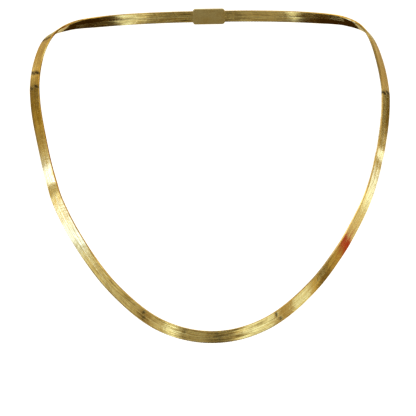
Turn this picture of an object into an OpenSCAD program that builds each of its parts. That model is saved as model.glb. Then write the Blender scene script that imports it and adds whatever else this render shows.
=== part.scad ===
// Herringbone chain necklace, held in the form it takes round a neck.
// The origin is at the nape, on the face of the clasp that lies against the neck.
// X runs across the neck, the front of the loop hangs towards -Y and +Z is up.

/* [Loop] */
// Width of the loop at its widest, between the band's centre lines
loop_w = 127.4; // [110:0.2:150]
// Depth of the loop from the nape to the front of the chest
loop_d = 116; // [95:0.2:135]
// Depth from the nape at which the loop is widest
widest_d = 43.6; // [35:0.2:60]
// Drop of the front of the loop below the nape
drop_h = 97; // [70:0.2:125]

/* [Band] */
// Width of the band
band_w = 4.3; // [3:0.1:7]
// Thickness of the band at the crowns of its two columns
band_t = 0.9; // [0.8:0.05:1.6]
// Depth of the centre groove, and of the fall to each edge, on either face
crown_h = 0.1; // [0.05:0.01:0.25]

/* [Clasp] */
// Length of the clasp along the band
clasp_l = 12; // [9:0.5:18]
// Depth of the socket that takes each end of the band
socket_l = 3.6; // [2:0.1:4]
// Wall round each socket
clasp_wall = 0.55; // [0.4:0.05:1]
// Radius of the clasp's corners
clasp_r = 1; // [0.5:0.1:1.5]
// Clearance between the band and its socket
fit_gap = 0.15; // [0.1:0.05:0.3]

/* [Hidden] */
gold = [0.80, 0.62, 0.27];

// Rows from the nape to the front of the chest, one every route_step degrees round the loop.
// Columns: fall as a share of drop_h, then how far the band's face turns up from upright,
// in degrees, on the wearer's right side (-X) and on the left side (+X), then how far
// both sides hang towards +X, in mm.
route_rows = [
    [0.000,  0,  0,  0.0],
    [0.002,  4,  4,  0.0],
    [0.007, 15, 13, -0.1],
    [0.016, 46, 35, -0.3],
    [0.050, 70, 52, -0.5],
    [0.143, 63, 52, -0.5],
    [0.250, 55, 45,  0.0],
    [0.372, 48, 35,  0.5],
    [0.545, 45, 19,  0.4],
    [0.694, 32, 12,  0.2],
    [0.846, 11,  7,  0.1],
    [0.961,  9,  8, -0.2],
    [1.000, 10, 10, -0.2]
];
fall_col = 0;
right_col = 1;
left_col = 2;
aside_col = 3;
route_last = len(route_rows) - 1;
route_step = 180 / route_last;

// How far the plan of the loop is squared off from an ellipse
plan_square = 0.04;

// Places across half the band, as shares of half its width, with the share of crown_h
// by which each face is lower there than at its crowns
section_rows = [
    [0.00, 1.00],
    [0.25, 0.25],
    [0.75, 0.25],
    [1.00, 1.00]
];

// Rings of the band on each side of the loop, and the angle between them
side_rings = 54;
ring_step = 180 / side_rings;
// Small angle over which the route's direction is measured
probe = 0.4;

clasp_h = band_w + 2 * (fit_gap + clasp_wall);
clasp_t = band_t + 2 * (fit_gap + clasp_wall);
// Where the band leaves the clasp, and where it ends inside
mouth_x = clasp_l / 2;
end_x = mouth_x - socket_l + fit_gap;

// A smooth curve through one column of the rows, even about both of its ends
function row_value(i, col) = route_rows[i < 0 ? -i : i > route_last ? 2 * route_last - i : i][col];
function blend(a, b, c, d, t) =
    (2 * b + (c - a) * t + (2 * a - 5 * b + 4 * c - d) * t * t + (3 * b - a - 3 * c + d) * t * t * t) / 2;
function along_rows(angle, col) =
    let (place = abs(angle) / route_step, i = min(floor(place), route_last - 1))
    blend(row_value(i - 1, col), row_value(i, col), row_value(i + 1, col), row_value(i + 2, col), place - i);

// Point of the band's centre line: 0 degrees at the nape, 180 at the front, negative on the -X side
function across(a) =
    (loop_w - mouth_x) / 2 * (sin(a) + plan_square * sin(3 * a)) / (1 - plan_square)
    + mouth_x * pow(cos(a / 2), 2);
function depth(a) = clasp_t / 2 - loop_d / 2 * (1 - cos(a)) - (widest_d - loop_d / 2) * pow(sin(a), 2);
function route(angle) =
    let (a = abs(angle))
    [
        sign(angle) * across(a) + along_rows(a, aside_col),
        depth(a),
        -drop_h * along_rows(a, fall_col)
    ];

function unit(v) = v / norm(v);
// Direction of travel, always from the nape's +X side round the front
function heading(angle) = unit(route(angle + probe) - route(angle - probe));
// Way that the band's face looks: out from the neck, turned up by the row's angle
function face_way(angle, way) =
    let (
        up = along_rows(angle, angle < 0 ? right_col : left_col),
        out = unit(cross([0, 0, 1], way)),
        looks = out * cos(up) + [0, 0, sin(up)]
    )
    unit(looks - (looks * way) * way);

// Section of the band, anticlockwise, as [across, out] pairs
half_face = [for (row = section_rows) [row[0] * band_w / 2, band_t / 2 - row[1] * crown_h]];
rows_last = len(section_rows) - 1;
outer_face = concat(
    [for (i = [rows_last:-1:0]) half_face[i]],
    [for (i = [1:rows_last]) [-half_face[i][0], half_face[i][1]]]
);
section = concat(outer_face, [for (p = outer_face) -p]);
section_count = len(section);

function ring(at, face, side) = [for (p = section) at + p[0] * side + p[1] * face];
function ring_at(angle) =
    let (way = heading(angle), face = face_way(angle, way))
    ring(route(angle), face, cross(way, face));
// Ring of the straight end inside a socket, and of the same band at the mouth
function straight_ring(x) = ring([x, clasp_t / 2, 0], [0, 1, 0], [0, 0, 1]);

module chain() {
    rings = concat(
        [straight_ring(end_x), straight_ring(mouth_x)],
        [for (i = [1:side_rings]) ring_at(i * ring_step)],
        [for (i = [side_rings - 1:-1:1]) ring_at(-i * ring_step)],
        [straight_ring(-mouth_x), straight_ring(-end_x)]
    );
    last = len(rings) - 1;
    walls = [
        for (r = [0:last - 1])
        for (k = [0:section_count - 1])
        let (
            a = r * section_count + k,
            b = r * section_count + (k + 1) % section_count,
            c = b + section_count,
            d = a + section_count
        )
        each [[a, b, c], [a, c, d]]
    ];
    caps = [
        for (k = [1:section_count - 2])
        each [
            [0, k + 1, k],
            [for (n = [0, k, k + 1]) n + last * section_count]
        ]
    ];
    color(gold) polyhedron([for (r = rings) each r], concat(walls, caps), convexity = 8);
}

module clasp() {
    color(gold) difference() {
        clasp_body();
        socket();
        mirror([1, 0, 0]) socket();
    }
}

// Room for one end of the band, open past the clasp's end
module socket() {
    translate([mouth_x - socket_l, clasp_wall, -band_w / 2 - fit_gap])
        cube([socket_l + clasp_wall, band_t + 2 * fit_gap, band_w + 2 * fit_gap]);
}

// Flat plate with round corners, standing on its long edge against the neck
module clasp_body() {
    rotate([-90, 0, 0]) linear_extrude(clasp_t) union() {
        square([clasp_l - 2 * clasp_r, clasp_h], center = true);
        square([clasp_l, clasp_h - 2 * clasp_r], center = true);
        for (x = [-1, 1], y = [-1, 1])
            translate([x * (clasp_l / 2 - clasp_r), y * (clasp_h / 2 - clasp_r)])
                circle(clasp_r, $fn = 32);
    }
}

chain();
clasp();
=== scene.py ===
import math
import bmesh
import bpy
import numpy as np
from mathutils import Matrix, Vector


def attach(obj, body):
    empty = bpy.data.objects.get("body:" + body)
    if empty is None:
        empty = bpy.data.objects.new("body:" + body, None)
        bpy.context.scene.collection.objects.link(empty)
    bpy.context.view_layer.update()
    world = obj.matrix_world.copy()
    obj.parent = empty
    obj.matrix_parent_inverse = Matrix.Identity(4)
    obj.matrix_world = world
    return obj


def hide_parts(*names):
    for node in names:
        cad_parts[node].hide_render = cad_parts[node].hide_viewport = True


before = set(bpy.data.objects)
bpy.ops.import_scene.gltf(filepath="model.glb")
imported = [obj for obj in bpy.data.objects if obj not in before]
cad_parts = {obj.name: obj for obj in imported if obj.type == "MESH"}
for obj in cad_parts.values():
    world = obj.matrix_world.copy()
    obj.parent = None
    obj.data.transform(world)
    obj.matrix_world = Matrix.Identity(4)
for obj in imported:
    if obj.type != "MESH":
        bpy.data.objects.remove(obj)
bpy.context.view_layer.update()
mm = 0.001
print("frame loaded")


# short ways to add and link nodes

def addNode(tree, kind, **settings):
    node = tree.nodes.new(kind)
    for name, value in settings.items():
        setattr(node, name, value)
    return node


def plug(tree, socket, value):
    # a socket is linked, anything else is set as the socket's own value
    if isinstance(value, bpy.types.NodeSocket):
        tree.links.new(value, socket)
    else:
        socket.default_value = value


def calc(tree, operation, *values):
    node = addNode(tree, "ShaderNodeMath", operation=operation)
    for socket, value in zip(node.inputs, values):
        plug(tree, socket, value)
    return node.outputs[0]


def vectorCalc(tree, operation, *values):
    node = addNode(tree, "ShaderNodeVectorMath", operation=operation)
    sockets = [s for s in node.inputs if s.enabled]
    for socket, value in zip(sockets, values):
        plug(tree, socket, value)
    return node.outputs["Vector"]


def ramp(tree, value, low, high, outLow=0.0, outHigh=1.0, smooth=True):
    node = addNode(tree, "ShaderNodeMapRange")
    node.interpolation_type = "SMOOTHSTEP" if smooth else "LINEAR"
    for name, item in (("Value", value), ("From Min", low), ("From Max", high),
                       ("To Min", outLow), ("To Max", outHigh)):
        plug(tree, node.inputs[name], item)
    return node.outputs["Result"]


# the band's route, the same as the CAD's, in mm and degrees
route = {
    "width": 127.4,
    "depth": 116.0,
    "widestAt": 43.6,
    "drop": 97.0,
    "squared": 0.04,         # how far the plan is squared off from an ellipse
    "claspThick": 2.3,
    "mouth": 6.0,            # where the band leaves the clasp
    "end": 2.55,             # where it ends inside
    "pointsPerSide": 720,
    "probe": 0.4,            # small angle over which the direction is measured
    # from the nape to the front every 15 degrees: fall as a share of the drop,
    # lean of the face in degrees on the -X side and on the +X side, then how far
    # both sides hang towards +X
    "rows": [
        (0.000, 0, 0, 0.0), (0.002, 4, 4, 0.0), (0.007, 15, 13, -0.1), (0.016, 46, 35, -0.3),
        (0.050, 70, 52, -0.5), (0.143, 63, 52, -0.5), (0.250, 55, 45, 0.0), (0.372, 48, 35, 0.5),
        (0.545, 45, 19, 0.4), (0.694, 32, 12, 0.2), (0.846, 11, 7, 0.1), (0.961, 9, 8, -0.2),
        (1.000, 10, 10, -0.2),
    ],
}
frontRow = route["pointsPerSide"] + 1      # the row of routeRows that lies at the front


def alongRows(angle, column):
    rows = route["rows"]
    last = len(rows) - 1
    place = abs(angle) / 180 * last
    i = min(int(place), last - 1)
    t = place - i
    picks = [abs(n) if n <= last else 2 * last - n for n in (i - 1, i, i + 1, i + 2)]
    a, b, c, d = (rows[n][column] for n in picks)
    return (2 * b + (c - a) * t + (2 * a - 5 * b + 4 * c - d) * t * t
            + (3 * b - a - 3 * c + d) * t * t * t) / 2


def routePoint(angle):
    a = math.radians(abs(angle))
    half = (route["width"] - route["mouth"]) / 2
    x = half * (math.sin(a) + route["squared"] * math.sin(3 * a)) / (1 - route["squared"])
    x += route["mouth"] * math.cos(a / 2) ** 2
    y = route["claspThick"] / 2 - route["depth"] / 2 * (1 - math.cos(a))
    y -= (route["widestAt"] - route["depth"] / 2) * math.sin(a) ** 2
    z = -route["drop"] * alongRows(angle, 0)
    return Vector((math.copysign(x, angle) + alongRows(angle, 3), y, z))


def faceWay(angle, way):
    lean = math.radians(alongRows(angle, 1 if angle < 0 else 2))
    out = Vector((0, 0, 1)).cross(way).normalized()
    looks = out * math.cos(lean) + Vector((0, 0, math.sin(lean)))
    return (looks - looks.dot(way) * way).normalized()


# Where the band departs from its even route. Each row starts with the side (1 is +X) and the
# distance from the front in mm. A crease is a sharp ridge: height and reach of its slopes, in
# mm. A ripple is a wave that tips the face: degrees towards the nape, then reach in mm. A
# swell is a round ridge: height and reach in mm.
creases = [
    (-1, 137.4, 0.3, 8.0),
    (1, 132.2, 0.3, 8.0),
]
ripples = [
    (-1, 88.2, 4.5, 4.0),
    (1, 102.4, -3.0, 2.4),
]
swells = [
    (1, 61.3, 0.24, 4.2),
]


def runAlong(points):
    # distance of each point from the first
    return np.concatenate([[0], np.cumsum(np.linalg.norm(np.diff(points, axis=0), axis=1))])


def unevened(rows):
    # lifts the points along their faces and turns the faces with the slopes
    points = np.array([p for p, f in rows])
    faces = np.array([f for p, f in rows])
    run = runAlong(points)
    fromFront = run - run[frontRow]      # grows from the +X side to the -X side
    lift = np.zeros(len(run))
    for side, distance, height, reach in creases:
        lift += height * np.exp(-np.abs(fromFront + side * distance) / reach)
    for side, distance, degrees, reach in ripples:
        place = (fromFront + side * distance) / reach
        lift += side * math.radians(degrees) * reach * place * np.exp(-place ** 2 / 2)
    for side, distance, height, reach in swells:
        lift += height * np.exp(-((fromFront + side * distance) / reach) ** 2 / 2)
    points += faces * lift[:, None]
    way = np.gradient(points, axis=0)
    way /= np.linalg.norm(way, axis=1)[:, None]
    faces -= way * np.sum(way * faces, axis=1)[:, None]
    faces /= np.linalg.norm(faces, axis=1)[:, None]
    return [(Vector(p), Vector(f)) for p, f in zip(points, faces)]


def routeRows():
    # (point, way that the band's face looks), from the socket on the +X side round the front
    count = route["pointsPerSide"]
    angles = [180 * i / count for i in range(1, count + 1)]
    angles += [-180 * i / count for i in range(count - 1, 0, -1)]
    probe = route["probe"]
    rows = []
    for x in (route["end"], route["mouth"]):
        rows.append((Vector((x, route["claspThick"] / 2, 0)), Vector((0, 1, 0))))
    for angle in angles:
        way = (routePoint(angle + probe) - routePoint(angle - probe)).normalized()
        if abs(angle) + probe > 180:
            way = Vector((-1, 0, 0))
        rows.append((routePoint(angle), faceWay(angle, way)))
    for x in (-route["mouth"], -route["end"]):
        rows.append((Vector((x, route["claspThick"] / 2, 0)), Vector((0, 1, 0))))
    return [(point * mm, face) for point, face in unevened(rows)]


def makeRouteObject(name):
    rows = routeRows()
    mesh = bpy.data.meshes.new(name)
    mesh.from_pydata([p for p, f in rows], [(i, i + 1) for i in range(len(rows) - 1)], [])
    faces = mesh.attributes.new("faceWay", "FLOAT_VECTOR", "POINT")
    for item, (point, face) in zip(faces.data, rows):
        item.vector = face
    ob = bpy.data.objects.new(name, mesh)
    bpy.context.scene.collection.objects.link(ob)
    return ob


# Lengths are in metres. Where an entry is (from, to) or (from, to, result at from, result at
# to), it is a smooth step, which runs from 0 to 1 unless it says otherwise. Sides and Front
# are shares on both sides of the loop, and at its front, where the band rubs.
goldLook = {
    "light": (0.90, 0.73, 0.32),
    "deep": (0.84, 0.61, 0.20),
    "rimShade": (0.86, 0.56, 0.16),               # painted shade: a warmer, darker line along both edges of the band
    "worn": (0.46, 0.31, 0.085),             # darker scratches along the band
    "scratch": (0.20, 0.13, 0.03),           # darkest lines, only where the band rubs
    "seamHighlight": (1.0, 0.87, 0.42),               # painted highlight along the line between the two columns, and on the lightest lines
    # painted shade where the band was creased and beside its edges, and small dark marks
    "shadeMarks": (0.06, 0.036, 0.006),
    "bumpStrength": 0.5,
    "grainFine": 2200.0,                     # noise scales are per metre
    "grainDetail": 2.0,
    "grainDepth": 0.000004,
    "streakLong": 80.0,                      # along the band, then across it
    "streakFine": 2600.0,
    "streakDetail": 2.0,
    "streakDepth": 0.000008,
    "streakStep": (0.35, 0.65),
    "wornLong": 140.0,
    "wornFine": 4200.0,
    "wornDetail": 3.0,
    "wornStep": (0.47, 0.64),
    "wearSides": 0.42,
    "wearFront": 0.85,
    "rubStarts": (-0.054, -0.042),           # in x, where the rubbed stretch begins and ends
    "rubEnds": (0.010, 0.028, 1.0, 0.0),
    "linksSides": 0.22,                      # for the links' own tones
    "linksFront": 0.42,
    "scratchStep": (0.53, 0.64),
    "scratchMiddle": (0.008, 0.013, 1.0, 0.35),
    "glintStep": (0.38, 0.46, 0.8, 0.0),     # painted glints, the lightest lines among the scratches
    "seamPlace": (0.00003, 0.00014, 1.0, 0.0),
    "seamStep": (0.35, 0.6, 0.2, 0.9),
    "seamSides": 0.45,
    "rimPlace": (0.00198, 0.00214, 0.0, 0.42),
    "roughness": (0.3, 0.7, 0.102, 0.144),   # over the grain
    "wornDull": 0.6,                         # share of the worn roughness in the scratches
    "wornRoughness": 0.24,
    "seamRoughness": 0.30,
    "shadeMarksRoughness": 0.42,
    "cloudFine": 260.0,                      # the clasp's own
    "cloudDetail": 3.0,
    "cloudStep": (0.35, 0.75),
    "claspRoughness": (0.3, 0.7, 0.14, 0.19),
}


def mixColour(tree, factor, first, second):
    node = addNode(tree, "ShaderNodeMix", data_type="RGBA")
    plug(tree, node.inputs["Factor"], factor)
    for name, colour in (("A", first), ("B", second)):
        given = isinstance(colour, bpy.types.NodeSocket)
        plug(tree, node.inputs[name], colour if given else (*colour, 1))
    return node.outputs["Result"]


def noise(tree, place, scale, detail):
    node = addNode(tree, "ShaderNodeTexNoise")
    plug(tree, node.inputs["Vector"], place)
    plug(tree, node.inputs["Scale"], scale)
    plug(tree, node.inputs["Detail"], detail)
    return node.outputs["Fac"]


def bumped(tree, height, distance, below=None):
    node = addNode(tree, "ShaderNodeBump")
    plug(tree, node.inputs["Strength"], goldLook["bumpStrength"])
    plug(tree, node.inputs["Distance"], distance)
    plug(tree, node.inputs["Height"], height)
    if below:
        plug(tree, node.inputs["Normal"], below)
    return node.outputs["Normal"]


def makeGrain(tree, place):
    return noise(tree, place, goldLook["grainFine"], goldLook["grainDetail"])


def startGold(name):
    mat = bpy.data.materials.new(name)
    mat.use_nodes = True
    tree = mat.node_tree
    tree.nodes.clear()
    out = addNode(tree, "ShaderNodeOutputMaterial")
    shader = addNode(tree, "ShaderNodeBsdfPrincipled")
    tree.links.new(shader.outputs[0], out.inputs[0])
    shader.inputs["Metallic"].default_value = 1.0
    return mat, tree, shader


def makeClaspGold():
    mat, tree, shader = startGold("claspGold")
    place = addNode(tree, "ShaderNodeTexCoord").outputs["Object"]
    cloud = noise(tree, place, goldLook["cloudFine"], goldLook["cloudDetail"])
    cloud = ramp(tree, cloud, *goldLook["cloudStep"])
    plug(tree, shader.inputs["Base Color"], mixColour(tree, cloud, goldLook["light"], goldLook["deep"]))
    grain = makeGrain(tree, place)
    plug(tree, shader.inputs["Roughness"], ramp(tree, grain, *goldLook["claspRoughness"]))
    plug(tree, shader.inputs["Normal"], bumped(tree, grain, goldLook["grainDepth"]))
    return mat


def makeChainGold():
    # fine streaks and scratches along the band, a slightly different tone for each link, a seam lit by a
    # painted highlight, painted shade along both edges, and dark marks with painted shade where the band
    # was creased and beside its edges
    mat, tree, shader = startGold("chainGold")
    bandPlace = addNode(tree, "ShaderNodeAttribute", attribute_name="bandPlace")
    band = addNode(tree, "ShaderNodeSeparateXYZ")
    tree.links.new(bandPlace.outputs["Vector"], band.inputs[0])
    along, across = band.outputs[0], band.outputs[1]
    place = addNode(tree, "ShaderNodeTexCoord").outputs["Object"]
    spot = addNode(tree, "ShaderNodeSeparateXYZ")
    tree.links.new(place, spot.inputs[0])
    x = spot.outputs[0]
    link = addNode(tree, "ShaderNodeAttribute", attribute_name="linkShade").outputs["Fac"]
    # painted shade of the creases and edges, and small dark marks
    shadeMarks = addNode(tree, "ShaderNodeAttribute", attribute_name="shadeMarks").outputs["Fac"]

    def alongBand(kind):
        stretched = addNode(tree, "ShaderNodeCombineXYZ")
        plug(tree, stretched.inputs[0], calc(tree, "MULTIPLY", along, goldLook[kind + "Long"]))
        plug(tree, stretched.inputs[1], calc(tree, "MULTIPLY", across, goldLook[kind + "Fine"]))
        return noise(tree, stretched.outputs[0], 1.0, goldLook[kind + "Detail"])

    def step(value, name):
        return ramp(tree, value, *goldLook[name])

    def times(first, second):
        return calc(tree, "MULTIPLY", first, second)

    def between(factor, first, second):
        node = addNode(tree, "ShaderNodeMix", data_type="FLOAT")
        for name, value in (("Factor", factor), ("A", first), ("B", second)):
            plug(tree, node.inputs[name], value)
        return node.outputs["Result"]

    streak = alongBand("streak")
    rubs = alongBand("worn")
    grain = makeGrain(tree, place)
    rubbed = times(step(x, "rubStarts"), step(x, "rubEnds"))

    # where each tone and roughness shows
    worn = step(rubs, "wornStep")
    wear = times(worn, between(rubbed, goldLook["wearSides"], goldLook["wearFront"]))
    linkTone = times(ramp(tree, link, -1.0, 1.0),
                     between(rubbed, goldLook["linksSides"], goldLook["linksFront"]))
    scratch = times(rubbed, step(calc(tree, "ABSOLUTE", x), "scratchMiddle"))
    scratch = times(scratch, step(rubs, "scratchStep"))
    # painted glints on the lightest lines
    glint = times(rubbed, step(rubs, "glintStep"))
    beside = calc(tree, "ABSOLUTE", across)
    # the seam's lighter colour is a painted highlight
    seamHighlight = times(step(beside, "seamPlace"), step(streak, "seamStep"))
    seamHighlight = times(seamHighlight, between(rubbed, goldLook["seamSides"], 1.0))
    # painted shade along both edges of the band
    rimShade = step(beside, "rimPlace")

    gold = mixColour(tree, step(streak, "streakStep"), goldLook["light"], goldLook["deep"])
    for mask, colour in ((wear, "worn"), (linkTone, "worn"), (scratch, "scratch"), (glint, "seamHighlight"),
                         (seamHighlight, "seamHighlight"), (rimShade, "rimShade"), (shadeMarks, "shadeMarks")):
        gold = mixColour(tree, mask, gold, goldLook[colour])
    plug(tree, shader.inputs["Base Color"], gold)

    polish = step(grain, "roughness")
    for mask, rough in ((times(worn, goldLook["wornDull"]), "wornRoughness"),
                        (seamHighlight, "seamRoughness"), (shadeMarks, "shadeMarksRoughness")):
        polish = between(mask, polish, goldLook[rough])
    plug(tree, shader.inputs["Roughness"], polish)

    normal = bumped(tree, streak, goldLook["streakDepth"])
    normal = bumped(tree, grain, goldLook["grainDepth"], normal)
    plug(tree, shader.inputs["Normal"], normal)
    return mat


chainGold = makeChainGold()
claspGold = makeClaspGold()
print("gold mixed")


# sizes of the herringbone chain, which are the inputs of its node tree
chain = {
    "Link pitch": 0.58 * mm,
    "Band width": 4.28 * mm,
    "Thickness": 0.88 * mm,
    "Crown": 0.01 * mm,      # fall to the centre groove and to the edges
    "Crown power": 6.0,      # higher keeps the columns flatter
    "Slant": 0.6,            # how far each arm leans along the band, per length across
    "Bevel": 0.05 * mm,
    "Overlap": 0.012 * mm,   # how far each link reaches past its share of the pitch
    "Tip size": 0.55,        # the arms' ends, as a share of the full section
    "Loose tilt": 0.4,       # degrees that a link may sit out of line
    "Seed": 7,
}
# one link before it is bent, with its length and radius taken as 1 to either side
linkBar = {
    "sides": 8,
    "rings": 12,
    "tipFrom": 0.95,         # where the arms narrow to their tips
    "tipTo": 0.96,
    "corner": 0.6,           # lies between the places of an octagon's corners, 0.38 and 0.92
    "sharp": 24,             # degrees from which an edge is shown sharp
}


def makeChainTree():
    tree = bpy.data.node_groups.new("herringboneChain", "GeometryNodeTree")
    sockets = tree.interface
    sockets.new_socket(name="Route", in_out="INPUT", socket_type="NodeSocketGeometry")
    for name, value in chain.items():
        kind = "NodeSocketInt" if isinstance(value, int) else "NodeSocketFloat"
        sockets.new_socket(name=name, in_out="INPUT", socket_type=kind)
    sockets.new_socket(name="Gold", in_out="INPUT", socket_type="NodeSocketMaterial")
    sockets.new_socket(name="Chain", in_out="OUTPUT", socket_type="NodeSocketGeometry")
    given = addNode(tree, "NodeGroupInput").outputs
    out = addNode(tree, "NodeGroupOutput")

    curve = addNode(tree, "GeometryNodeMeshToCurve")
    tree.links.new(given["Route"], curve.inputs["Mesh"])
    length = addNode(tree, "GeometryNodeCurveLength")
    tree.links.new(curve.outputs[0], length.inputs[0])
    halfWidth = calc(tree, "MULTIPLY", given["Band width"], 0.5)
    halfThick = calc(tree, "MULTIPLY", given["Thickness"], 0.5)
    armReach = calc(tree, "MULTIPLY", halfWidth, given["Slant"])

    # one link: a bar bent to a V, lying across the band, in (along, across, out)
    bar = addNode(tree, "GeometryNodeMeshCylinder", fill_type="NGON")
    plug(tree, bar.inputs["Vertices"], linkBar["sides"])
    plug(tree, bar.inputs["Side Segments"], linkBar["rings"])
    plug(tree, bar.inputs["Radius"], 1.0)
    plug(tree, bar.inputs["Depth"], 2.0)
    turned = addNode(tree, "GeometryNodeTransform")
    tree.links.new(bar.outputs["Mesh"], turned.inputs["Geometry"])
    plug(tree, turned.inputs["Rotation"], (0, 0, math.pi / linkBar["sides"]))
    spot = addNode(tree, "ShaderNodeSeparateXYZ")
    tree.links.new(addNode(tree, "GeometryNodeInputPosition").outputs[0], spot.inputs[0])
    x, y, z = spot.outputs
    reach = calc(tree, "ABSOLUTE", z)
    share = ramp(tree, reach, 0.0, 1.0)
    across = calc(tree, "MULTIPLY", calc(tree, "MULTIPLY", calc(tree, "SIGN", z), share), halfWidth)
    tip = ramp(tree, reach, linkBar["tipFrom"], linkBar["tipTo"], 1.0, given["Tip size"], smooth=False)
    barHalf = calc(tree, "ADD", calc(tree, "MULTIPLY", given["Link pitch"], 0.5), given["Overlap"])

    def barSide(value, half):
        # the corners that are nearer to the axis stand back by the bevel
        inner = calc(tree, "LESS_THAN", calc(tree, "ABSOLUTE", value), linkBar["corner"])
        size = calc(tree, "SUBTRACT", half, calc(tree, "MULTIPLY", inner, given["Bevel"]))
        return calc(tree, "MULTIPLY", calc(tree, "MULTIPLY", calc(tree, "SIGN", value), size), tip)

    column = calc(tree, "ABSOLUTE", calc(tree, "MULTIPLY_ADD", share, 2.0, -1.0))
    fall = calc(tree, "MULTIPLY", calc(tree, "POWER", column, given["Crown power"]), given["Crown"])
    along = calc(tree, "SUBTRACT", barSide(x, barHalf), calc(tree, "MULTIPLY", armReach, share))
    # y is turned over with z, so that the bar isn't mirrored and its faces still look out
    lift = calc(tree, "MULTIPLY", barSide(y, calc(tree, "SUBTRACT", halfThick, fall)), -1.0)
    placed = addNode(tree, "ShaderNodeCombineXYZ")
    for socket, value in zip(placed.inputs, (along, across, lift)):
        plug(tree, socket, value)
    link = addNode(tree, "GeometryNodeSetPosition")
    tree.links.new(turned.outputs[0], link.inputs["Geometry"])
    tree.links.new(placed.outputs[0], link.inputs["Position"])

    # a straight row of links, with the V's arms kept inside both ends
    room = calc(tree, "SUBTRACT", length.outputs[0], calc(tree, "ADD", armReach, given["Link pitch"]))
    count = calc(tree, "ROUND", calc(tree, "DIVIDE", room, given["Link pitch"]))
    pitch = calc(tree, "DIVIDE", room, count)
    start = addNode(tree, "ShaderNodeCombineXYZ")
    plug(tree, start.inputs[0], calc(tree, "ADD", armReach, given["Link pitch"]))
    offset = addNode(tree, "ShaderNodeCombineXYZ")
    plug(tree, offset.inputs[0], pitch)
    row = addNode(tree, "GeometryNodeMeshLine")
    plug(tree, row.inputs["Count"], count)
    plug(tree, row.inputs["Start Location"], start.outputs[0])
    plug(tree, row.inputs["Offset"], offset.outputs[0])

    def loose(size, extra):
        node = addNode(tree, "FunctionNodeRandomValue", data_type="FLOAT")
        floats = [s for s in node.inputs if s.type == "VALUE"]
        plug(tree, floats[0], calc(tree, "MULTIPLY", size, -1.0))
        plug(tree, floats[1], size)
        plug(tree, node.inputs["Seed"], calc(tree, "ADD", given["Seed"], extra))
        return [s for s in node.outputs if s.type == "VALUE"][0]

    tilt = addNode(tree, "ShaderNodeCombineXYZ")
    plug(tree, tilt.inputs[1], loose(calc(tree, "RADIANS", given["Loose tilt"]), 0))
    dotted = addNode(tree, "GeometryNodeStoreNamedAttribute", data_type="FLOAT", domain="POINT")
    tree.links.new(row.outputs[0], dotted.inputs["Geometry"])
    plug(tree, dotted.inputs["Name"], "linkShade")
    plug(tree, dotted.inputs["Value"], loose(1.0, 1))
    spread = addNode(tree, "GeometryNodeInstanceOnPoints")
    tree.links.new(dotted.outputs[0], spread.inputs["Points"])
    tree.links.new(link.outputs[0], spread.inputs["Instance"])
    tree.links.new(tilt.outputs[0], spread.inputs["Rotation"])
    straight = addNode(tree, "GeometryNodeRealizeInstances")
    tree.links.new(spread.outputs[0], straight.inputs[0])

    # kept for the gold, then the row is laid along the route
    kept = addNode(tree, "GeometryNodeStoreNamedAttribute", data_type="FLOAT_VECTOR", domain="POINT")
    tree.links.new(straight.outputs[0], kept.inputs["Geometry"])
    plug(tree, kept.inputs["Name"], "bandPlace")
    here = addNode(tree, "GeometryNodeInputPosition").outputs[0]
    plug(tree, kept.inputs["Value"], here)
    flat = addNode(tree, "ShaderNodeSeparateXYZ")
    tree.links.new(here, flat.inputs[0])
    looks = addNode(tree, "GeometryNodeInputNamedAttribute", data_type="FLOAT_VECTOR")
    plug(tree, looks.inputs["Name"], "faceWay")
    sample = addNode(tree, "GeometryNodeSampleCurve", data_type="FLOAT_VECTOR", mode="LENGTH")
    sample.use_all_curves = True
    tree.links.new(curve.outputs[0], sample.inputs["Curves"])
    valueSocket = [s for s in sample.inputs if s.name == "Value" and s.enabled][0]
    tree.links.new(looks.outputs[0], valueSocket)
    plug(tree, sample.inputs["Length"], flat.outputs[0])
    faceOut = [s for s in sample.outputs if s.name == "Value" and s.enabled][0]
    outWay = vectorCalc(tree, "NORMALIZE", faceOut)
    side = vectorCalc(tree, "CROSS_PRODUCT", outWay, sample.outputs["Tangent"])
    side = vectorCalc(tree, "NORMALIZE", side)

    def scaled(vector, amount):
        node = addNode(tree, "ShaderNodeVectorMath", operation="SCALE")
        tree.links.new(vector, node.inputs[0])
        plug(tree, node.inputs["Scale"], amount)
        return node.outputs["Vector"]

    laid = vectorCalc(tree, "ADD", sample.outputs["Position"], scaled(side, flat.outputs[1]))
    laid = vectorCalc(tree, "ADD", laid, scaled(outWay, flat.outputs[2]))
    wrap = addNode(tree, "GeometryNodeSetPosition")
    tree.links.new(kept.outputs[0], wrap.inputs["Geometry"])
    tree.links.new(laid, wrap.inputs["Position"])
    whole = addNode(tree, "GeometryNodeRealizeInstances")
    tree.links.new(wrap.outputs[0], whole.inputs[0])
    dressed = addNode(tree, "GeometryNodeSetMaterial")
    tree.links.new(whole.outputs[0], dressed.inputs["Geometry"])
    tree.links.new(given["Gold"], dressed.inputs["Material"])
    tree.links.new(dressed.outputs[0], out.inputs[0])
    return tree


def runTree(ob, tree, values):
    # the inputs are set before the first evaluation, and the result becomes a plain mesh
    mod = ob.modifiers.new("nodes", "NODES")
    mod.node_group = tree
    for item in tree.interface.items_tree:
        if item.in_out == "INPUT" and item.name in values:
            mod[item.identifier] = values[item.name]
    graph = bpy.context.evaluated_depsgraph_get()
    mesh = bpy.data.meshes.new_from_object(ob.evaluated_get(graph))
    ob.modifiers.remove(mod)
    return mesh
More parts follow.
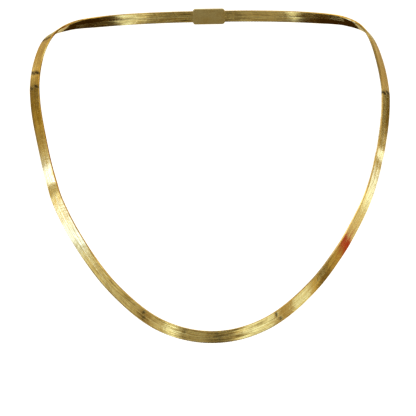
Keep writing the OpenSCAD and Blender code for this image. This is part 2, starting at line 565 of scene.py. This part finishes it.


# Small dents where the band was once creased, darkened with painted shade in the gaps that open there, a
# few small dark marks nearer the front, and painted shade as darker lines beside its edges and beside
# the -X crease.
# A row is side (1 is +X), distance from the front, place across towards the outer edge, reach
# along and reach across, in mm, then slant (along, per length across) and share of darkness.
marks = [
    (-1, 145.5, 1.0, 0.55, 1.0, 0.9, 1.0), (-1, 144.7, -1.0, 0.55, 1.0, 0.9, 1.0),
    (-1, 137.7, 1.1, 0.6, 0.8, 0.9, 1.0), (-1, 137.3, -1.1, 0.6, 0.9, 0.9, 1.0),
    (1, 131.2, -1.3, 0.6, 0.9, 0.0, 1.0), (1, 132.8, 0.8, 0.6, 1.0, 0.0, 1.0),
    (-1, 26.7, -0.9, 0.45, 0.6, 0.2, 0.8), (-1, 25.8, 0.6, 0.4, 0.6, 0.2, 0.7),
    (1, 23.8, -1.1, 0.35, 0.7, 0.3, 0.75), (1, 24.4, 0.9, 0.4, 0.5, 0.3, 0.85),
    (-1, 10.3, -0.8, 0.4, 0.6, 0.0, 0.5), (1, 1.3, -1.0, 0.3, 0.6, 0.0, 0.5),
    (1, 1.9, 0.8, 0.4, 0.5, 0.0, 0.55),
]
edgeLines = [
    (1, 149.0, -2.1, 9.0, 0.22, 0.0, 0.5), (-1, 42.0, 2.1, 13.0, 0.16, 0.0, 0.6),
    (1, 0.0, 2.1, 6.0, 0.14, 0.0, 0.5), (1, 18.0, 2.1, 4.0, 0.14, 0.0, 0.5),
    (-1, 134.6, 0, 3.2, 9.0, 0.0, 0.16), (1, 48.0, -2.1, 6.0, 0.12, 0.0, 0.5),
    (-1, 119.0, 2.1, 13.0, 0.6, 0.0, 0.35),
]
marking = {
    "depth": 0.03 * mm,
    "steep": 2.4,            # above 1 a mark is level in its middle
    "skin": 0.3,             # height in mm from which the face is pressed in fully
}


def markBand(mesh):
    # puts the marks' darkness, painted shade where the band was creased and beside its edges, into an
    # attribute and presses the dents into the face that looks out
    count = len(mesh.vertices)
    place = np.empty(count * 3)
    mesh.attributes["bandPlace"].data.foreach_get("vector", place)
    along, across, out = place.reshape(-1, 3).T / mm
    rows = routeRows()
    run = runAlong(np.array([p for p, f in rows]) / mm)
    fromFront = along - run[frontRow]

    def darkened(table):
        dark = np.zeros(count)
        for side, distance, outer, reach, wide, slant, share in table:
            beside = across - outer
            ahead = fromFront + side * distance - slant * beside
            spot = np.exp(-(ahead / reach) ** 2 - (beside / wide) ** 2)
            dark = np.maximum(dark, np.clip(marking["steep"] * share * spot, 0, share))
        return dark

    dents = darkened(marks)
    # painted shade of the creases and edges, with the small marks
    layer = mesh.attributes.new("shadeMarks", "FLOAT", "POINT")
    layer.data.foreach_set("value", np.maximum(dents, darkened(edgeLines)))
    columns = np.array([f for p, f in rows]).T
    faces = np.array([np.interp(along, run, column) for column in columns]).T
    spots = np.empty(count * 3)
    mesh.vertices.foreach_get("co", spots)
    press = np.clip(out / marking["skin"], 0, 1) * dents * marking["depth"]
    spots = spots.reshape(-1, 3) - faces * press[:, None]
    mesh.vertices.foreach_set("co", spots.ravel())
    mesh.update()


chainOb = makeRouteObject("herringboneBand")
chainMesh = runTree(chainOb, makeChainTree(), {**chain, "Gold": chainGold})
chainOb.data = chainMesh
markBand(chainMesh)
chainMesh.shade_smooth()
chainMesh.set_sharp_from_angle(angle=math.radians(linkBar["sharp"]))
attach(chainOb, "root")
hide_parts("chain")
linkCount = len(chainMesh.vertices) // (linkBar["sides"] * (linkBar["rings"] + 1))
triangles = sum(len(p.vertices) - 2 for p in chainMesh.polygons)
print("links laid:", linkCount, "triangles:", triangles)

clasp = {
    "edge": 0.22 * mm,       # radius of the polished edges
    "edgeSteps": 2,
    "merge": 0.01 * mm,
    "flat": 2,               # degrees under which faces are joined
    "corner": 40,            # degrees from which an edge is polished round
    "sharp": 35,             # degrees from which an edge is shown sharp
}


def makeClasp():
    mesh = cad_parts["clasp"].data.copy()
    bm = bmesh.new()
    bm.from_mesh(mesh)
    bmesh.ops.remove_doubles(bm, verts=bm.verts, dist=clasp["merge"])
    bmesh.ops.dissolve_limit(bm, angle_limit=math.radians(clasp["flat"]), verts=bm.verts, edges=bm.edges)
    corner = math.radians(clasp["corner"])
    edges = [e for e in bm.edges if len(e.link_faces) == 2 and e.calc_face_angle() > corner]
    bmesh.ops.bevel(bm, geom=edges, offset=clasp["edge"], segments=clasp["edgeSteps"],
                    affect="EDGES", clamp_overlap=True)
    bm.to_mesh(mesh)
    bm.free()
    mesh.materials.clear()
    mesh.materials.append(claspGold)
    mesh.shade_smooth()
    mesh.set_sharp_from_angle(angle=math.radians(clasp["sharp"]))
    ob = bpy.data.objects.new("claspShell", mesh)
    bpy.context.scene.collection.objects.link(ob)
    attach(ob, "root")
    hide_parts("clasp")


makeClasp()
print("clasp made")


# plain pale surroundings, in metres
tent = {
    "floor": -1.7,           # height of the floor, with the chain held at neck height
    "radius": 6.0,
    "roof": 5.0,
    "rings": 12,             # round the bend from the floor to the wall
    "bend": 2.0,
    "steps": 64,             # round the tent
    "merge": 0.001,
    "pale": 0.9,
}


def makeTent():
    # plain pale floor that runs up into plain walls and a roof
    outline = [(0, tent["floor"]), (tent["radius"] - tent["bend"], tent["floor"])]
    for i in range(1, tent["rings"] + 1):
        a = math.radians(90 * i / tent["rings"])
        outline.append((tent["radius"] - tent["bend"] * (1 - math.sin(a)),
                        tent["floor"] + tent["bend"] * (1 - math.cos(a))))
    outline += [(tent["radius"], tent["roof"]), (0, tent["roof"])]
    bm = bmesh.new()
    verts = [bm.verts.new((x, 0, z)) for x, z in outline]
    edges = [bm.edges.new(pair) for pair in zip(verts, verts[1:])]
    bmesh.ops.spin(bm, geom=verts + edges, axis=(0, 0, 1), cent=(0, 0, 0),
                   angle=math.tau, steps=tent["steps"])
    bmesh.ops.remove_doubles(bm, verts=bm.verts, dist=tent["merge"])
    bmesh.ops.recalc_face_normals(bm, faces=bm.faces)
    mesh = bpy.data.meshes.new("floorAndWalls")
    bm.to_mesh(mesh)
    bm.free()
    mat = bpy.data.materials.new("paleFloor")
    mat.use_nodes = True
    shader = mat.node_tree.nodes["Principled BSDF"]
    shader.inputs["Base Color"].default_value = (tent["pale"], tent["pale"], tent["pale"], 1)
    shader.inputs["Roughness"].default_value = 1.0
    shader.inputs["Emission Color"].default_value = (1, 1, 1, 1)
    shader.inputs["Emission Strength"].default_value = 1.0
    mesh.materials.append(mat)
    ob = bpy.data.objects.new("floorAndWalls", mesh)
    ob.visible_glossy = False      # the gold shows the soft boxes and the dark of the studio
    ob.visible_diffuse = False
    ob.visible_shadow = False
    bpy.context.scene.collection.objects.link(ob)


makeTent()

studio = {
    "low": (0.04, 0.019, 0.003),     # warm dark of the studio round the chain
    "above": (0.85, 0.68, 0.34),     # soft light from overhead
    "aboveFrom": 0.62,               # sine of the elevation where it starts
    "aboveFull": 0.9,                # and where it is full
}


def makeWorld():
    world = bpy.data.worlds.new("studio")
    bpy.context.scene.world = world
    world.use_nodes = True
    tree = world.node_tree
    back = tree.nodes["Background"]
    way = addNode(tree, "ShaderNodeSeparateXYZ")
    tree.links.new(addNode(tree, "ShaderNodeTexCoord").outputs["Generated"], way.inputs[0])
    mix = addNode(tree, "ShaderNodeMix", data_type="RGBA")
    plug(tree, mix.inputs["Factor"],
         ramp(tree, way.outputs[2], studio["aboveFrom"], studio["aboveFull"]))
    plug(tree, mix.inputs["A"], (*studio["low"], 1))
    plug(tree, mix.inputs["B"], (*studio["above"], 1))
    plug(tree, back.inputs["Color"], mix.outputs["Result"])


makeWorld()

# Soft boxes and cards round the chain. A row is azimuth (0 towards the camera, 90 towards
# +X) and elevation of the middle, width and height, in degrees, then brightness and tint.
ice = (0.35, 0.48, 0.97)
cool = (0.50, 0.64, 1.0)
white = (0.80, 0.92, 1.0)
pale = (0.94, 1.0, 0.95)
cream = (1.0, 0.98, 0.80)
straw = (1.0, 0.93, 0.60)
tan = (1.0, 0.80, 0.48)
amber = (1.0, 0.79, 0.34)
brown = (1.0, 0.70, 0.12)
umber = (1.0, 0.68, 0.02)
red = (1.0, 0.06, 0.07)
panels = {
    "backLeft": (-141, 29, 20, 40, 0.55, tan),
    "creaseLeft": (-128.2, 31, 5.7, 40, 0.42, amber),
    "darkLeft": (-121.5, 31, 7.5, 40, 0.02, umber),
    "lowShadeLeft": (-114.9, 30, 5.8, 40, 0.36, brown),
    "shadeLeft": (-107, 26, 10, 40, 0.4, amber),
    "midLeft": (-98.4, 25, 7.2, 40, 0.57, cream),
    "peakLeftLow": (-92.35, 16, 4.9, 20, 6.4, ice),
    "peakLeftHigh": (-92.35, 36, 4.9, 20, 1.2, pale),
    "edgeLeft": (-87.05, 25, 5.7, 40, 0.95, straw),
    "keyLeft": (-80.75, 23, 6.9, 40, 4.6, ice),
    "keyLeftLow": (-75.8, 18, 2.9, 40, 1.75, cool),
    "sideLeftEdge": (-73.2, 12, 2.4, 40, 1.0, white),
    "sideLeftHigh": (-69.25, 22, 5.5, 25, 0.82, cream),
    "sideLeftMid": (-69.25, -5.5, 5.5, 30, 0.73, cream),
    "sideLeft": (-56.5, 0, 20, 50, 0.57, cream),
    "gapLeft": (-41.8, 0, 9.5, 50, 0.35, tan),
    "frontLeftLow": (-32.5, 2, 9, 50, 0.57, cream),
    "frontLeft": (-24, 3, 8, 50, 1.55, white),
    "front": (-11.8, 6, 17.6, 50, 0.33, cream),
    "frontDark": (1.8, 6, 9.5, 50, 0.18, cream),
    "frontRightLow": (9, 4, 5, 50, 0.2, cream),
    "frontRightMid": (13.8, 3, 4.5, 50, 0.85, cream),
    "frontRight": (26.2, 1, 20.4, 50, 1.3, white),
    "gapRight": (39, -2, 5.2, 50, 0.44, tan),
    "sideRightLow": (45.5, -3, 7.8, 50, 0.43, tan),
    "sideRight": (56.2, -4, 13.6, 50, 1.26, white),
    "shadeRight": (66.4, -4, 6, 50, 0.62, amber),
    "darkRight": (73.8, -4, 9.2, 50, 0.14, amber),
    "tanRight": (81.8, -4, 6.8, 50, 0.52, amber),
    "redCard": (91.3, -2, 12.2, 50, 0.46, red),
    "keyRightLow": (102.35, -1, 9.9, 50, 0.86, cream),
    "keyRightSide": (109.7, 0, 4.7, 50, 1.5, white),
    "keyRight": (113.9, 1, 3.8, 50, 3.4, cool),
    "midRight": (118, 4, 4.4, 50, 0.50, amber),
    "highRight": (122.5, 10, 4.2, 50, 0.16, umber),
    "darkBackRight": (129.8, 15, 10.4, 40, 0.11, umber),
    "backRight": (145.5, 14, 21, 40, 0.52, tan),
    "back": (180, 0, 46, 80, 0.6, straw),
    "backHigh": (180, 52, 70, 28, 0.9, straw),
}
panelDistance = 3.0
panelMiddle = Vector((0, -0.05, -0.05))


def makePanels():
    for name, (azimuth, elevation, width, height, bright, tint) in panels.items():
        a = math.radians(azimuth)
        e = math.radians(elevation)
        way = Vector((math.sin(a) * math.cos(e), -math.cos(a) * math.cos(e), math.sin(e)))
        data = bpy.data.lights.new(name, "AREA")
        data.shape = "RECTANGLE"
        data.size = 2 * panelDistance * math.tan(math.radians(width / 2))
        data.size_y = 2 * panelDistance * math.tan(math.radians(height / 2))
        data.energy = bright * math.pi * data.size * data.size_y
        data.color = tint
        ob = bpy.data.objects.new(name, data)
        ob.location = panelMiddle + way * panelDistance
        ob.rotation_euler = way.to_track_quat("Z", "Y").to_euler()
        ob.visible_camera = False
        bpy.context.scene.collection.objects.link(ob)


makePanels()

view = {
    "from": (0.0, -1.1971, 0.1527),
    "to": (-0.0015, -0.0601, -0.0618),
    "roll": -1.01,
    "focal": 277.2,
    "sensor": 36.0,
    "near": 0.05,
    "far": 100.0,
}


def makeCamera():
    data = bpy.data.cameras.new("camera")
    data.sensor_width = view["sensor"]
    data.lens = view["focal"]
    data.clip_start = view["near"]
    data.clip_end = view["far"]
    ob = bpy.data.objects.new("camera", data)
    aim = Vector(view["to"]) - Vector(view["from"])
    turn = Matrix.Rotation(math.radians(view["roll"]), 3, "Z")
    ob.location = view["from"]
    ob.rotation_euler = (aim.to_track_quat("-Z", "Y").to_matrix() @ turn).to_euler()
    bpy.context.scene.collection.objects.link(ob)
    bpy.context.scene.camera = ob


makeCamera()
bpy.context.scene.view_settings.view_transform = "Standard"
print("studio set")
